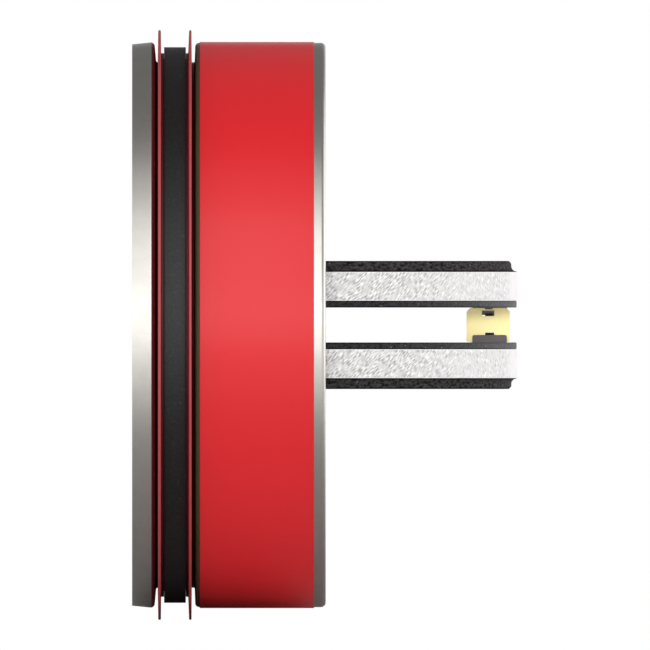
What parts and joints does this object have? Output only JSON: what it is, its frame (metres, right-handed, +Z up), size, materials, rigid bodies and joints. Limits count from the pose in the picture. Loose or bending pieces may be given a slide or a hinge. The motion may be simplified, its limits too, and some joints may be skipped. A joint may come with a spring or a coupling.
{
  "type": "round fire damper",
  "caption": "Round insert fire damper for a duct: grooved steel sleeve with lip seal and sprung half-disc blades held open by a fusible link.",
  "frame": {"origin": "middle of the blades' hinge shaft, on the duct axis", "axes": "+X along the duct axis, downstream, towards the open blades; Y along the hinge shaft; +Z up"},
  "size_m": [0.1337, 0.2048, 0.2048],
  "materials": {
    "galvanised": "satin",
    "seal_rubber": "matte",
    "graphite_strip": "matte",
    "label_film": "satin",
    "bright_steel": "satin",
    "spring_steel": "satin",
    "silicate_board": "matte",
    "black_facing": "matte",
    "dark_liner": "matte",
    "dark_steel": "satin",
    "brass": "satin",
    "solder": "satin"
  },
  "bodies": {
    "casing": {"casing": "galvanised", "lip_seal": "seal_rubber", "intumescent_strip": "graphite_strip", "label_band": "label_film", "hinge_shaft": "bright_steel", "shaft_clips": "spring_steel", "centre_sleeve": "bright_steel", "outer_sleeves": "bright_steel", "thrust_washers": "bright_steel", "torsion_spring_left": "spring_steel", "torsion_spring_right": "spring_steel"},
    "upper_blade": {"upper_core": "silicate_board", "upper_facing": "black_facing", "upper_liner": "dark_liner", "upper_hinge_leaf": "galvanised", "upper_hinge_rivets": "bright_steel", "upper_bracket_rivets": "bright_steel", "upper_link_bracket": "dark_steel", "upper_link_plate": "brass"},
    "lower_blade": {"lower_core": "silicate_board", "lower_facing": "black_facing", "lower_liner": "dark_liner", "lower_hinge_leaf": "galvanised", "lower_hinge_rivets": "bright_steel", "lower_bracket_rivets": "bright_steel", "lower_link_bracket": "dark_steel", "lower_link_plate": "brass", "link_solder": "solder"}
  },
  "joints": [
    {"name": "upper_blade_swing", "type": "hinge", "parent": "casing", "child": "upper_blade", "pos_m": [0, 0, 0], "axis": [0, -1, 0], "range_deg": [0, 90], "deforming": ["torsion_spring_left", "torsion_spring_right"]},
    {"name": "lower_blade_swing", "type": "hinge", "parent": "casing", "child": "lower_blade", "pos_m": [0, 0, 0], "axis": [0, 1, 0], "range_deg": [0, 90]}
  ]
}
